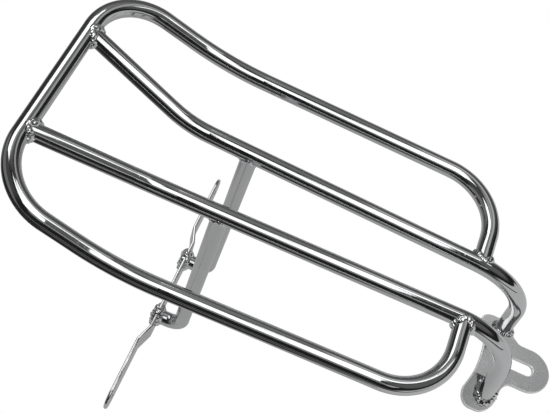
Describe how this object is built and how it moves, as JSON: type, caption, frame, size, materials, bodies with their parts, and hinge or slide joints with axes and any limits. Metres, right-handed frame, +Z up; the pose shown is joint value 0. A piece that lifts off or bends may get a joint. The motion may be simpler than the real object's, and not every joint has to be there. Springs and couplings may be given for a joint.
{
  "type": "motorcycle luggage rack",
  "caption": "Chromed tube luggage rack: bent outer hoop, inner rails that turn down onto a slotted front plate, and legs welded to a cross strap.",
  "frame": {"origin": "centre of the front plate's slot, on the plate's underside, which sits on the fender", "axes": "+X towards the front plate, along the motorcycle; +Y to the left; +Z up, away from the fender"},
  "size_m": [0.4151, 0.242, 0.2561],
  "materials": {
    "chrome_tube": "polished",
    "chrome_sheet": "polished",
    "plated_weld": "lumpy, plated"
  },
  "bodies": {
    "root": {"outer_hoop": "chrome_tube", "inner_rail_left": "chrome_tube", "inner_rail_right": "chrome_tube", "support_leg_left": "chrome_tube", "support_leg_right": "chrome_tube", "fender_strap": "chrome_sheet", "front_plate": "chrome_sheet", "weld_rear_left": "plated_weld", "weld_rear_right": "plated_weld", "weld_front_left": "plated_weld", "weld_front_right": "plated_weld", "weld_leg_top_left": "plated_weld", "weld_leg_top_right": "plated_weld", "weld_leg_foot_left": "plated_weld", "weld_leg_foot_right": "plated_weld", "weld_plate_left": "plated_weld", "weld_plate_right": "plated_weld"}
  },
  "joints": []
}
